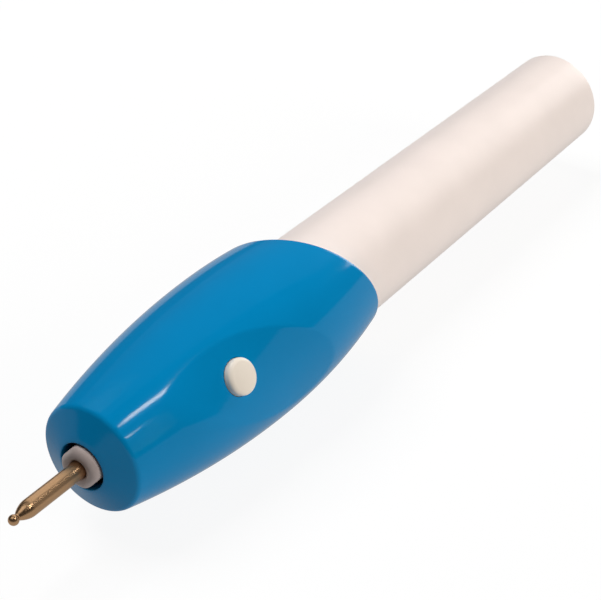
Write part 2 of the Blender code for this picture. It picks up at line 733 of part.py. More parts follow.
def engraving_tip():
    """A pin with an ogive nose, a neck and a ball end."""
    ball_start = math.asin(NECK_RADIUS / BALL_RADIUS)
    ball = [(radius, place) for radius, place in
            arc((0, BALL_AT), BALL_RADIUS, math.pi / 2 - ball_start, -math.pi / 2, 9)]
    ball[-1] = (0, BALL_AT - BALL_RADIUS)
    steps = 6
    ogive = []
    for step in range(steps + 1):
        share = 1 - step / steps
        swell = math.sin(share * math.pi / 2) ** 0.85
        ogive.append((NECK_RADIUS + (TIP_RADIUS - NECK_RADIUS) * swell, NECK_AT + (TAPER_END - NECK_AT) * share))
    profile = [(0, TIP_REAR), (TIP_RADIUS - 0.3, TIP_REAR), (TIP_RADIUS, TIP_REAR - 0.3)] + ogive + ball
    return turned("engraving_tip", profile, steps=24)


def nose_bearing():
    """The plain bearing ring behind the nose hole, which carries the holder's sleeve."""
    return ring("nose_bearing", NOSE_BORE_RADIUS - TOUCH, HOLDER_SLEEVE_RADIUS + RUNNING, BEARING_FRONT, BEARING_REAR)


# ---------------------------------------------------------------- wires

def lead_height():
    """A lead that starts on a switch contact lies this far out, clear of the pressed button."""
    return BLOCK_TOP + TOUCH + LEAF + FITTED + WIRE_RADIUS


def lead_switch_to_motor():
    low = lead_height()
    points = [(low, 3.0, BUTTON_AT + CONTACT_SPREAD), (7.2, 3.2, 29.6), (7.8, 3.1, 30.8), (7.9, 2.2, 36),
              (7.8, 1.0, 42), (6.3, 0.7, 45.0), (4.9, 1.0, 45.4)]
    return wire("lead_switch_to_motor", smooth_path(points, 3), WIRE_RADIUS)


def lead_battery_to_switch():
    low = lead_height()
    points = [(low, -3.0, BUTTON_AT - CONTACT_SPREAD), (low, -4.2, 24.7), (low, -4.25, 27.5), (7.2, -4.0, 29.4),
              (7.8, -3.4, 30.9), (7.9, -2.4, 36), (7.9, -1.2, 42), (6.2, -1.0, 45.3), (2.0, -0.8, 45.4),
              (0.5, -0.1, 45.5), (0, 0, 46.2), (0, 0, 48), (0, 0, BOSS_REAR - 0.2)]
    return wire("lead_battery_to_switch", smooth_path(points, 3), WIRE_RADIUS)


def lead_motor_to_return():
    points = [(-4.4, 1.0, 45.3), (-6.0, 0.9, 45.4), (-7.3, 0.3, 45.8), (-RETURN_AT, 0, 46.8),
              (-RETURN_AT, 0, BULKHEAD_REAR - 0.1)]
    return wire("lead_motor_to_return", smooth_path(points, 3), WIRE_RADIUS)


# ---------------------------------------------------------------- the pen

def build():
    global PARTS, CUTTERS, FRAME
    clear_scene()
    PARTS = new_collection("engraving_pen")
    CUTTERS = new_collection("cutters")
    FRAME = bpy.data.objects.new("pen_frame", None)
    PARTS.objects.link(FRAME)
    front = BALL_AT - BALL_RADIUS
    middle = (front + TUBE_REAR) / 2
    upright = Matrix(((0, 1, 0, 0), (0, 0, 1, 0), (1, 0, 0, 0), (0, 0, 0, 1)))
    lie = Matrix.Translation((0, -middle * MM, BARREL_RADIUS * MM))
    FRAME.matrix_world = lie @ Matrix.Rotation(BUTTON_TURN, 4, "Y") @ upright
    bpy.context.view_layer.update()

    blue_plastic = material("blue_gloss_plastic", (0.0, 0.2, 0.46), 0.25)
    white_plastic = material("white_plastic", (0.83, 0.79, 0.75), 0.35)
    cream_plastic = material("cream_plastic", (0.84, 0.76, 0.66), 0.4)
    grey_plastic = material("grey_plastic", (0.35, 0.3, 0.29), 0.5)
    black_plastic = material("black_plastic", (0.03, 0.03, 0.03), 0.5)
    gold_metal = material("gold_plated_steel", (0.62, 0.42, 0.2), 0.25, 1.0)
    steel = material("steel", (0.55, 0.55, 0.55), 0.35, 1.0)
    bronze = material("sintered_bronze", (0.45, 0.3, 0.15), 0.5, 1.0)
    brass = material("brass", (0.7, 0.5, 0.2), 0.3, 1.0)
    nickel = material("nickel_plate", (0.65, 0.63, 0.58), 0.3, 1.0)
    ferrite = material("ferrite", (0.05, 0.05, 0.055), 0.7)
    copper = material("enamelled_copper", (0.6, 0.22, 0.08), 0.35, 1.0)
    cell_jacket = material("cell_jacket", (0.03, 0.05, 0.12), 0.35)
    red_insulation = material("red_insulation", (0.55, 0.03, 0.02), 0.45)
    black_insulation = material("black_insulation", (0.02, 0.02, 0.02), 0.45)

    paint(front_housing(), blue_plastic)
    paint(battery_tube(), white_plastic)
    paint(button_cap(), cream_plastic)
    paint(tip_holder(), grey_plastic)
    paint(engraving_tip(), gold_metal)
    paint(nose_bearing(), black_plastic)

    paint(chassis(), black_plastic)
    paint(switch_block(), black_plastic)
    paint(switch_contact("switch_contact_front", -1), brass)
    paint(switch_contact("switch_contact_rear", 1), brass)
    paint(contact_bridge(), brass)
    paint(button_spring(), steel)

    paint(motor_can(), steel)
    paint(magnet("magnet_left", math.pi / 2), ferrite)
    paint(magnet("magnet_right", -math.pi / 2), ferrite)
    paint(bush("motor_front_bush", MOTOR_FRONT - 1.0, MOTOR_FRONT + 1.0), bronze)
    paint(motor_end_bell(), black_plastic)
    paint(bush("motor_rear_bush", MOTOR_CAN_REAR + TOUCH, MOTOR_REAR - 0.2), bronze)
    paint(brush("brush_upper", 1), copper)
    paint(brush("brush_lower", -1), copper)
    paint(motor_terminal("motor_terminal_upper", 1), nickel)
    paint(motor_terminal("motor_terminal_lower", -1), nickel)
    paint(motor_shaft(), steel)
    paint(armature_core(), steel)
    for index in range(POLE_COUNT):
        paint(winding(index), copper)
    paint(commutator(), copper)

    paint(bulkhead(), black_plastic)
    paint(bulkhead_screw("bulkhead_screw_left", 1), steel)
    paint(bulkhead_screw("bulkhead_screw_right", -1), steel)
    paint(front_contact(), nickel)
    paint(return_contact(), nickel)
    paint(return_strip(), nickel)
    paint(rear_plate(), nickel)
    paint(rear_spring(), nickel)
    paint(cell("cell_front", CELL_FRONT), cell_jacket)
    paint(cell("cell_rear", CELL_FRONT + CELL_LENGTH + TOUCH), cell_jacket)

    paint(lead_switch_to_motor(), red_insulation)
    paint(lead_battery_to_switch(), red_insulation)
    paint(lead_motor_to_return(), black_insulation)


build()
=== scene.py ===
"""Looks for a battery-powered engraving pen: fine surfaces, finishes, light and camera.

Surfaces are worked out in the pen's own frame, in millimetres: z runs along the pen from the mouth
of the nose towards the battery end, x points out through the button, and an angle round the pen is
measured from x towards y. to_part() lays that frame down in the CAD part's frame, in metres.
"""

import math

import bpy
import numpy as np
from mathutils import Euler, Matrix, Vector


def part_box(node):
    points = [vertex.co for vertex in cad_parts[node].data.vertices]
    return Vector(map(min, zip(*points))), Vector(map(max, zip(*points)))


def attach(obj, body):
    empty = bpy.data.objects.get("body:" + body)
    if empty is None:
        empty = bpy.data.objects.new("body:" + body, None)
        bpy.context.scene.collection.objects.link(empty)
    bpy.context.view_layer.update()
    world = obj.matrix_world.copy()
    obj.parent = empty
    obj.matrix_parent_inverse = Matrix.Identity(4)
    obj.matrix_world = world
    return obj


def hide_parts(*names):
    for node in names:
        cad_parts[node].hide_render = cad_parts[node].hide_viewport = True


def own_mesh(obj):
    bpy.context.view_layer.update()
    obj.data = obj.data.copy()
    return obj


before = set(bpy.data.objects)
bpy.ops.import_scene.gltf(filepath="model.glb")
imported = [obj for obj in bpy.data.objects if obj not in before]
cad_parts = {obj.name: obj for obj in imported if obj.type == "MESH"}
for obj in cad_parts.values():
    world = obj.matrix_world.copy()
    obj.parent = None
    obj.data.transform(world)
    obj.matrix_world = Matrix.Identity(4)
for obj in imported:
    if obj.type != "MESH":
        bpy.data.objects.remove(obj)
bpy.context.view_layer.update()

MM = 0.001
ALONG, UP = 1, 2                    # the part frame's Y, which the pen lies along, and Z
TURN = 2 * math.pi
SHARP_ANGLE = math.radians(32)      # faces that meet at more than this keep a sharp edge
POLE = 0.1                          # radius of the smallest circle round a closed end's middle point


def cad_span(node, axis):
    """A CAD node's lowest and highest place along an axis, in millimetres. They are rounded to
    hundredths, which is how finely the CAD part is drawn."""
    low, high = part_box(node)
    return round(low[axis] / MM, 2), round(high[axis] / MM, 2)


# How the pen lies
NOSE_AT = cad_span("front_housing", ALONG)[0]
AXIS_HEIGHT = sum(cad_span("motor_can", UP)) / 2
BUTTON_TURN = math.radians(63)      # the button's lean from straight up towards +X

# Front housing: its radius falls with the square of the distance from its widest place
BARREL_RADIUS = 13.975              # just inside the flats of the plainer CAD barrel
WIDEST_AT = 41.0
SHOULDER_AT = 2.8                   # where the barrel gives way to the nose's rounded edge
SHOULDER_RADIUS = 9.48
BARREL_END = 69.0
BARREL_END_RADIUS = 10.75
NOSE_HOLE_RADIUS = 4.1
NOSE_HOLE_EDGE = 0.3
NOSE_RIM_RADIUS = 8.8               # where the nose's rounded edge gives way to its coned face
NOSE_RIM_AT = 2.03
RIM_AT = 59.6                       # the slanted rear rim, where its plane crosses the pen's axis
RIM_SLOPE = math.tan(math.radians(32.5))
RIM_LONG_SIDE = math.radians(63)
RIM_EDGE = 0.7
RIM_EDGE_SHARE = 0.45               # and no more than this share of the wall
TUBE_SOCKET_RADIUS = 10.6
BORE = [                            # the hollow's radius and place, from the nose hole to the tube
    (NOSE_HOLE_RADIUS, 2.2),
    (7.6, 3.95), (7.6, 14.0),       # the nose bearing's seat
    (10.0, 14.0), (10.0, 48.0),     # room for the chassis and what it carries
    (TUBE_SOCKET_RADIUS, 48.0),
]

# Finger dish: the inside of a ring, tilted, that meets the barrel round the button
DISH_AT = 30.1                      # the dish's middle, along the pen
DISH_ROUND = math.radians(7.6)      # and round it from the button
DISH_DEPTH = 1.4
DISH_ACROSS_RADIUS = 27.0
DISH_ALONG_RADIUS = 92.3
DISH_PITCH = math.radians(4.1)      # how far the ring's axis leans from the pen's
DISH_YAW = math.radians(17.2)       # and how far it is turned about the line out through the dish
CRISP_EDGE = 0.10                   # how widely the dish's edge is blended above and behind the button
SOFT_EDGE = 0.5                     # and how much more widely at its front
SOFT_EDGE_AT = 20.0
SOFT_EDGE_FADE = 2.5

# Button, with its places measured out from the pen's axis
BUTTON_AT = sum(cad_span("button_cap", ALONG)) / 2 - NOSE_AT
BUTTON_RADIUS = 3.05
BUTTON_TOP = 13.5
BUTTON_DOME = 0.2
BUTTON_EDGE = 0.8
FLANGE_RADIUS = 4.1
FLANGE_TOP = 8.95
FLANGE_BOTTOM = 8.15
STEM_RADIUS = 1.8
STEM_BOTTOM = 7.65
BUTTON_HOLE_RADIUS = 3.15
BUTTON_HOLE_BOTTOM = 8.5
BUTTON_HOLE_TOP = 16.0

# Spring under the button
SPRING_RADIUS = 1.2
SPRING_WIRE_RADIUS = 0.16
SPRING_BOTTOM = 3.86
SPRING_TOP = 6.59
SPRING_TURNS = 4

# Battery tube, with four ribs inside that hold the cells
TUBE_FRONT = cad_span("battery_tube", ALONG)[0] - NOSE_AT
TUBE_REAR = cad_span("battery_tube", ALONG)[1] - NOSE_AT
TUBE_FRONT_RADIUS = 10.4
TUBE_REAR_RADIUS = 9.6
TUBE_WALL = 1.6
TUBE_CLOSED_END = 2.1
TUBE_REAR_EDGE = 0.45
TUBE_FRONT_EDGE = 0.3
TUBE_INNER_EDGE = 0.2
TUBE_POLE = 0.4
RIB_COUNT = 4
RIB_AT_RADIUS = 7.1
RIB_HALF_DEPTH = 1.55
RIB_HALF_WIDTH = 0.6
RIB_SQUARENESS = 0.3                # 1 would make the rib's section an ellipse, and 0 a rectangle
RIB_FRONT = 58.0
RIB_REAR = 148.4

# Tip holder
HEAD_RADIUS = 3.75
HEAD_FRONT = -1.05
HEAD_REAR = 4.6
HEAD_EDGE = 1.3
HEAD_INNER_WIDTH = 0.85             # the front's inner rounding is a quarter of an ellipse
HEAD_INNER_DEPTH = 0.4
FLAT_DISTANCE = 3.2                 # from the axis to each flat
FLAT_TURN = math.radians(70)
FLAT_EDGE = 0.9                     # how far the flats curve in at the front
FLAT_BLEND = 0.5
FLAT_LEAST = 2.4                    # the flats never cut deeper than this
SLEEVE_RADIUS = 3.0
SLEEVE_REAR = 20.0
TIP_BORE_RADIUS = 1.5
TIP_BORE_REAR = 9.8
SHAFT_BORE_RADIUS = 0.9

# Engraving tip
SHANK_RADIUS = 1.45
SHANK_REAR = 9.5
SHANK_REAR_EDGE = 0.3
SHANK_FRONT = -11.7
WAIST_RADIUS = 0.58
WAIST_AT = -14.3
BALL_RADIUS = 0.86
BALL_AT = -15.16

# Camera: its place in metres, and its turns in degrees
CAMERA_PLACE = (0.1544, -0.2263, 0.1784)
CAMERA_AZIMUTH = 35.47
CAMERA_ELEVATION = 31.835
CAMERA_ROLL = -1.58
CAMERA_LENS = 107.8
LIT_PLACE = Vector((0, -0.02, 0.014))    # the place that the lamps face, in metres


# ---------------------------------------------------------------- frames and meshes

def to_part(points):
    """Points in the pen's frame (millimetres) to the part's frame (metres): turned about the pen's
    axis by the button's lean, laid along Y and lifted to the axis's height."""
    out_x, out_z = math.sin(BUTTON_TURN), math.cos(BUTTON_TURN)
    x, y, z = points[..., 0], points[..., 1], points[..., 2]
    placed = [x * out_x + y * out_z, z + NOSE_AT, AXIS_HEIGHT + x * out_z - y * out_x]
    return np.stack(placed, axis=-1) * MM


def around(count, focus=0.0, crowding=0.0):
    """Angles of the columns round the pen: even steps, less a sine that crowds them near one angle."""
    even = np.arange(count) * TURN / count
    return focus + even - crowding * np.sin(even)


def grid(radius, place, angle):
    """Points with polar coordinates radius and angle about the pen's axis, at a place along it."""
    radius, place, angle = np.broadcast_arrays(radius, place, angle)
    return np.stack([radius * np.cos(angle), radius * np.sin(angle), place], axis=-1)


def revolve(profile, angles):
    """A grid of points: each row is a circle of the profile's radius at its place along the axis."""
    radius, place = np.array(profile, float).T[:, :, None]
    return grid(radius, place, angles[None, :])


def on_button_axis(points):
    """A grid drawn about the pen's axis, stood up about the button's axis instead: its z becomes the
    distance out from the pen's axis, and its x runs towards the nose."""
    return np.stack([points[..., 2], points[..., 1], BUTTON_AT - points[..., 0]], axis=-1)


def surface(name, rows, material, ring=False):
    """One closed mesh from a grid of rows: wrapped round the columns, and either wrapped from its
    last row to its first, as a ring, or closed by a single point in the middle of each end row. The
    faces are turned over if they point inwards, which they do when the sum of each quad's middle
    times its spread is negative."""
    row_count, column_count = rows.shape[:2]
    points = to_part(rows.reshape(-1, 3))
    index = np.arange(row_count * column_count).reshape(row_count, column_count)
    here = index if ring else index[:-1]
    after = np.roll(index, -1, axis=0) if ring else index[1:]
    quads = np.stack([here, np.roll(here, -1, 1), np.roll(after, -1, 1), after], axis=-1).reshape(-1, 4)
    faces = quads.tolist()
    if not ring:
        points = np.vstack([points, points[:column_count].mean(0), points[-column_count:].mean(0)])
        first, last = index.size, index.size + 1
        front, back = index[0], index[-1]
        faces += np.stack([np.full_like(front, first), np.roll(front, -1), front], -1).tolist()
        faces += np.stack([np.full_like(back, last), back, np.roll(back, -1)], -1).tolist()
    corners = points[quads]
    spread = np.cross(corners[:, 2] - corners[:, 0], corners[:, 3] - corners[:, 1])
    if (corners.mean(1) * spread).sum() < 0:
        faces = [face[::-1] for face in faces]
    mesh = bpy.data.meshes.new(name)
    mesh.from_pydata(points.tolist(), [], faces)
    mesh.materials.append(material)
    mesh.shade_smooth()
    mesh.set_sharp_from_angle(angle=SHARP_ANGLE)
    item = bpy.data.objects.new(name, mesh)
    bpy.context.scene.collection.objects.link(item)
    return item


def arc(centre, radius, start, end, steps):
    """Points on a circle's arc, between two angles in degrees."""
    turns = np.radians(np.linspace(start, end, steps + 1))
    return [(centre[0] + radius * math.cos(turn), centre[1] + radius * math.sin(turn)) for turn in turns]


def line(start, end, steps):
    """Points from start up to, but not including, end."""
    return [tuple(np.array(start) + (np.array(end) - start) * step / steps) for step in range(steps)]


def bend(start, corner, end, share):
    """The place at a share of a quadratic curve, which leaves start and reaches end in line with the
    corner."""
    return (1 - share) ** 2 * start + 2 * share * (1 - share) * corner + share ** 2 * end


def rounded(points, radii, steps=4):
    """A broken line with its inner corners replaced by quadratic curves that start and end a given
    distance from each corner."""
    path = [tuple(points[0])]
    for before, corner, after, size in zip(points, points[1:], points[2:], radii):
        before, corner, after = (np.array(place, float) for place in (before, corner, after))
        start = corner + (before - corner) * size / np.linalg.norm(before - corner)
        end = corner + (after - corner) * size / np.linalg.norm(after - corner)
        path += [tuple(bend(start, corner, end, step / steps)) for step in range(steps + 1)]
    return path + [tuple(points[-1])]


def smaller(a, b, blend):
    """The smaller of two distances. Where they differ by less than the blend, it is lowered by a
    square of how close they are, which rounds the edge where two surfaces cross."""
    share = np.maximum(blend - np.abs(a - b), 0) / blend
    return np.minimum(a, b) - share ** 2 * blend / 4


# ---------------------------------------------------------------- front housing

def barrel_radius(place):
    """Radius of the plain barrel at a place along it, as two parabolas that meet at the widest place."""
    ahead = (BARREL_RADIUS - SHOULDER_RADIUS) * ((WIDEST_AT - place) / (WIDEST_AT - SHOULDER_AT)) ** 2
    behind = (BARREL_RADIUS - BARREL_END_RADIUS) * ((place - WIDEST_AT) / (BARREL_END - WIDEST_AT)) ** 2
    return BARREL_RADIUS - np.where(place < WIDEST_AT, ahead, behind)


def dish_radius(place, angle):
    """How far out the dish's surface lies, by Newton's method on distance from the ring's tilted axis
    less the ring's inner radius, which grows with the square of the distance along that axis."""
    turned = angle - DISH_ROUND
    dish_bottom = float(barrel_radius(np.array(DISH_AT))) - DISH_DEPTH
    cos_yaw, sin_yaw = math.cos(DISH_YAW), math.sin(DISH_YAW)
    cos_pitch, sin_pitch = math.cos(DISH_PITCH), math.sin(DISH_PITCH)

    def miss(radius):
        x = radius * np.cos(turned) - dish_bottom
        y = radius * np.sin(turned)
        z = place - DISH_AT
        across = y * cos_yaw + z * sin_yaw
        along = z * cos_yaw - y * sin_yaw
        out = x * cos_pitch - along * sin_pitch + DISH_ACROSS_RADIUS
        along = along * cos_pitch + x * sin_pitch
        return np.hypot(out, across) - DISH_ACROSS_RADIUS - along ** 2 / (2 * DISH_ALONG_RADIUS)

    first_guess = 13.0
    nudge = 0.01
    least_slope = 0.2
    radius = np.full(np.broadcast(place, angle).shape, first_guess)
    for _ in range(8):              # enough to settle
        value = miss(radius)
        slope = (miss(radius + nudge) - value) / nudge
        radius = radius - value / np.maximum(slope, least_slope)
    return radius


def housing_radius(place, angle):
    """The barrel with its dish: a crisp edge above and behind the button, a soft one at the front."""
    softness = CRISP_EDGE + SOFT_EDGE / (1 + np.exp((place - SOFT_EDGE_AT) / SOFT_EDGE_FADE))
    return smaller(barrel_radius(place), dish_radius(place, angle), softness)


def rim_place(radius, angle):
    """Where the slanted rim's plane is, at a radius and angle."""
    return RIM_AT + RIM_SLOPE * radius * np.cos(angle - RIM_LONG_SIDE)


def nose_edge(steps):
    """The nose's rounded edge: a quadratic curve that touches the barrel at one end and the coned
    face at the other, so its corner is where the lines of those two slopes cross."""
    side = 2 * (BARREL_RADIUS - SHOULDER_RADIUS) / (WIDEST_AT - SHOULDER_AT)
    face = NOSE_RIM_AT / (NOSE_RIM_RADIUS - NOSE_HOLE_RADIUS)
    corner_radius = (SHOULDER_AT - SHOULDER_RADIUS / side + face * NOSE_HOLE_RADIUS) / (face - 1 / side)
    start = np.array([SHOULDER_RADIUS, SHOULDER_AT])
    corner = np.array([corner_radius, face * (corner_radius - NOSE_HOLE_RADIUS)])
    end = np.array([NOSE_RIM_RADIUS, NOSE_RIM_AT])
    return [tuple(bend(start, corner, end, share)) for share in np.linspace(0, 1, steps + 1)[1:]]


def housing_rows():
    """The housing as one ring of rows: along the outside from the rim to the nose, through the nose
    hole, and back along the bore to the rim."""
    angle = around(count=256, focus=DISH_ROUND, crowding=0.45)[None, :]
    end = np.full_like(angle, RIM_AT)
    for _ in range(12):             # each pass brings the end of the barrel nearer to the rim's plane
        end = rim_place(housing_radius(end, angle), angle)
    outside_rows = 231
    share = np.linspace(1, 0, outside_rows)[:, None]
    place = SHOULDER_AT + (end - RIM_EDGE - SHOULDER_AT) * share
    outside = grid(housing_radius(place, angle), place, angle)

    corner_radius = housing_radius(end, angle)
    corner = grid(corner_radius, end, angle)
    width = np.minimum(RIM_EDGE, RIM_EDGE_SHARE * (corner_radius - TUBE_SOCKET_RADIUS))
    inward = grid(corner_radius - width, rim_place(corner_radius - width, angle), angle)
    lip_rows = 6
    share = np.linspace(1, 0, lip_rows + 1)[:-1, None, None]
    lip = bend(outside[:1], corner, inward, share)

    mouth = rounded([(NOSE_RIM_RADIUS, NOSE_RIM_AT), (NOSE_HOLE_RADIUS, 0), BORE[0]], [NOSE_HOLE_EDGE])
    face = line((NOSE_RIM_RADIUS, NOSE_RIM_AT), mouth[1], steps=6)[1:]
    nose = nose_edge(steps=14) + face + mouth[1:-1]
    inside = revolve(nose + BORE, angle[0])

    inner_edge = np.array([0.0, 0.05, 0.18])[:, None]      # a small chamfer between rim and bore
    inner_radius = TUBE_SOCKET_RADIUS + inner_edge
    inner_place = rim_place(inner_radius, angle) - inner_edge[::-1]
    return np.concatenate([lip, outside, inside, grid(inner_radius, inner_place, angle)])


def front_housing(material):
    """The housing's shell, less a round post along the button's axis that makes the button's hole."""
    housing = surface("housing_shell", housing_rows(), material, ring=True)
    profile = [(BUTTON_HOLE_RADIUS, BUTTON_HOLE_BOTTOM), (BUTTON_HOLE_RADIUS, BUTTON_HOLE_TOP)]
    cutter = surface("button_hole", on_button_axis(revolve(profile, around(count=96))), material)
    cut = housing.modifiers.new("button_hole", "BOOLEAN")
    cut.object = cutter
    cut.solver = "EXACT"
    bpy.context.view_layer.objects.active = housing
    bpy.ops.object.modifier_apply(modifier=cut.name)
    bpy.data.objects.remove(cutter, do_unlink=True)
    housing.data.set_sharp_from_angle(angle=SHARP_ANGLE)
    return housing


# ---------------------------------------------------------------- battery tube

def tube_radius(place):
    """The tube's outside radius, which narrows evenly from front to rear."""
    share = (place - TUBE_FRONT) / (TUBE_REAR - TUBE_FRONT)
    return TUBE_FRONT_RADIUS + (TUBE_REAR_RADIUS - TUBE_FRONT_RADIUS) * share


def battery_tube(material):
    """A cup turned from its profile: closed and softly rounded at the rear, open at the front."""
    rear_edge_at = TUBE_REAR - TUBE_REAR_EDGE
    rear_radius = tube_radius(rear_edge_at)
    front_edge_at = TUBE_FRONT + TUBE_FRONT_EDGE
    profile = line((TUBE_POLE, TUBE_REAR), (rear_radius - TUBE_REAR_EDGE, TUBE_REAR), steps=8)
    profile += arc((rear_radius - TUBE_REAR_EDGE, rear_edge_at), TUBE_REAR_EDGE, 90, 0, steps=10)
    profile += line((rear_radius, rear_edge_at), (TUBE_FRONT_RADIUS, front_edge_at), steps=40)[1:]
    front_reach = TUBE_FRONT_RADIUS - TUBE_FRONT_EDGE
    profile += arc((front_reach, front_edge_at), TUBE_FRONT_EDGE, 0, -90, steps=5)
    inner_front = TUBE_FRONT_RADIUS - TUBE_WALL
    inner_edge_at = TUBE_FRONT + TUBE_INNER_EDGE
    inner_rear_at = TUBE_REAR - TUBE_CLOSED_END
    inner_rear = tube_radius(inner_rear_at) - TUBE_WALL
    profile += arc((inner_front + TUBE_INNER_EDGE, inner_edge_at), TUBE_INNER_EDGE, -90, -180, steps=3)
    profile += line((inner_front, inner_edge_at), (inner_rear, inner_rear_at), steps=20)[1:]
    profile += line((inner_rear, inner_rear_at), (TUBE_POLE, inner_rear_at), steps=6)
    profile += [(TUBE_POLE, inner_rear_at)]
    return surface("tube_shell", revolve(profile, around(count=192)), material)


def squared(wave):
    """A cosine or sine that is flattened towards its ends, which squares the corners of a rib."""
    return np.sign(wave) * np.abs(wave) ** RIB_SQUARENESS


def tube_ribs(material):
    """Four long ribs inside the tube that hold the cells, each a superellipse swept along the pen."""
    rib_items = []
    turn = around(count=24)[None, :]
    place = np.linspace(RIB_FRONT, RIB_REAR, 12)[:, None]
    out = RIB_AT_RADIUS + RIB_HALF_DEPTH * squared(np.cos(turn))
    side = RIB_HALF_WIDTH * squared(np.sin(turn))
    out, side, place = np.broadcast_arrays(out, side, place)
    for index in range(RIB_COUNT):
        middle = TURN * (index + 0.5) / RIB_COUNT
        rows = np.stack([out * math.cos(middle) - side * math.sin(middle),
                         out * math.sin(middle) + side * math.cos(middle), place], axis=-1)
        rib_items.append(surface(f"tube_rib_{index + 1}", rows, material))
    return rib_items


# ---------------------------------------------------------------- button and its spring

def button(material):
    """A low round cap on a flange and stem, turned about the button's axis. Its top falls with the
    square of the distance from the middle."""
    reach = BUTTON_RADIUS - BUTTON_EDGE
    edge_at = BUTTON_TOP - BUTTON_DOME - BUTTON_EDGE
    shares = np.linspace(0.04, 1, 12)           # from just beside the middle
    profile = [(share * reach, BUTTON_TOP - BUTTON_DOME * share ** 2) for share in shares]
    profile = profile[:-1] + arc((reach, edge_at), BUTTON_EDGE, 84, 0, steps=10)
    profile += line((BUTTON_RADIUS, edge_at - 0.1), (BUTTON_RADIUS, FLANGE_TOP + 0.05), steps=6)
    profile += [(BUTTON_RADIUS, FLANGE_TOP), (FLANGE_RADIUS, FLANGE_TOP), (FLANGE_RADIUS, FLANGE_BOTTOM),
                (STEM_RADIUS, FLANGE_BOTTOM), (STEM_RADIUS, STEM_BOTTOM), (POLE, STEM_BOTTOM)]
    return surface("button_shell", on_button_axis(revolve(profile, around(count=96))), material)


def button_spring(material):
    """A round wire swept along a helix about the button's axis."""
    whole = SPRING_TURNS * TURN
    turn = np.linspace(0, whole, 193)[:, None]
    around_wire = around(count=12)[None, :]
    radius = SPRING_RADIUS + SPRING_WIRE_RADIUS * np.cos(around_wire)
    climb = SPRING_BOTTOM + (SPRING_TOP - SPRING_BOTTOM) * turn / whole
    place = climb + SPRING_WIRE_RADIUS * np.sin(around_wire)
    coil = surface("spring_coil", on_button_axis(grid(radius, place, turn)), material)
    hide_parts("button_spring")
    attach(coil, "handle")
    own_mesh(coil)


# ---------------------------------------------------------------- tip holder and tip

def holder_profile():
    """The holder's outline: the sleeve, the head with its rounded front, and the bore behind it."""
    profile = [(SLEEVE_RADIUS, SLEEVE_REAR), (SLEEVE_RADIUS, HEAD_REAR), (HEAD_RADIUS, HEAD_REAR)]
    profile += line((HEAD_RADIUS, HEAD_REAR - 0.1), (HEAD_RADIUS, HEAD_FRONT + HEAD_EDGE), steps=10)
    reach = HEAD_RADIUS - HEAD_EDGE
    profile += arc((reach, HEAD_FRONT + HEAD_EDGE), HEAD_EDGE, 0, -90, steps=12)
    for turn in np.radians(np.linspace(0, 90, 9)[1:]):
        depth = HEAD_INNER_DEPTH * (1 - math.cos(turn))
        profile.append((reach - HEAD_INNER_WIDTH * math.sin(turn), HEAD_FRONT + depth))
    profile += [(TIP_BORE_RADIUS, TIP_BORE_REAR), (SHAFT_BORE_RADIUS, TIP_BORE_REAR),
                (SHAFT_BORE_RADIUS, SLEEVE_REAR)]
    return profile


def tip_holder(material):
    """The turning holder: a round head cut off by two flats, on a plain sleeve. The head's radius is
    the smaller of its own and the flats' distance over the cosine of the angle from their middle.
    The flats curve in towards the front as a quarter circle does."""
    angle = around(count=144)
    rows = revolve(holder_profile(), angle)
    radius = np.hypot(rows[..., 0], rows[..., 1])
    place = rows[..., 2]
    behind_front = np.clip((place - HEAD_FRONT) / FLAT_EDGE, 0, 1)
    curve_in = FLAT_EDGE * (1 - np.sqrt(np.clip(1 - (1 - behind_front) ** 2, 0, 1)))
    flat = FLAT_DISTANCE / np.maximum(np.abs(np.cos(angle - FLAT_TURN)), 0.05)[None, :] - curve_in
    on_head = (place < HEAD_REAR + 0.01) & (radius > FLAT_LEAST - 0.1)
    cut = smaller(radius, np.maximum(flat, FLAT_LEAST), FLAT_BLEND)
    limited = np.where(on_head, cut, radius)
    rows[..., 0] = limited * np.cos(angle)
    rows[..., 1] = limited * np.sin(angle)
    return surface("holder_shell", rows, material, ring=True)


def engraving_tip(material):
    """The tip turned from its profile: a plain shank, a bullet nose that swells as a power of a sine,
    a waist and a ball."""
    shank = [(POLE, SHANK_REAR), (SHANK_RADIUS, SHANK_REAR), (SHANK_RADIUS, SHANK_FRONT)]
    shank = rounded(shank, [SHANK_REAR_EDGE], steps=5)[:-1]
    shank += line((SHANK_RADIUS, SHANK_REAR - 0.5), (SHANK_RADIUS, SHANK_FRONT), steps=30)
    share = np.linspace(1, 0, 16)
    swell = np.sin(share * math.pi / 2) ** 0.85
    nose_radius = WAIST_RADIUS + (SHANK_RADIUS - WAIST_RADIUS) * swell
    nose = list(zip(nose_radius, WAIST_AT + (SHANK_FRONT - WAIST_AT) * share))
    waist_angle = math.degrees(math.acos(WAIST_RADIUS / BALL_RADIUS))
    ball = arc((0, BALL_AT), BALL_RADIUS, waist_angle, -87, steps=20)      # to just beside the middle
    return surface("tip_shell", revolve(shank + nose + ball, around(count=96)), material)


# ---------------------------------------------------------------- finishes

BROAD = 12      # the mottling and the change in gloss are this many times coarser than the grain
LEAST_ROUGHNESS = 0.02


def colour(code):
    """An sRGB hex code as linear light, with alpha."""
    parts = [int(code[start:start + 2], 16) / 255 for start in (1, 3, 5)]
    light = [part / 12.92 if part <= 0.04045 else ((part + 0.055) / 1.055) ** 2.4 for part in parts]
    return tuple(light) + (1.0,)


def add(tree, kind, links=(), **settings):
    """Add a node, set its properties and sockets by name, and link (from socket, to input) pairs."""
    node = tree.nodes.new(kind)
    for name, value in settings.items():
        if hasattr(node, name):
            setattr(node, name, value)
        else:
            node.inputs[name.replace("_", " ")].default_value = value
    for source, target in links:
        tree.links.new(source, node.inputs[target])
    return node


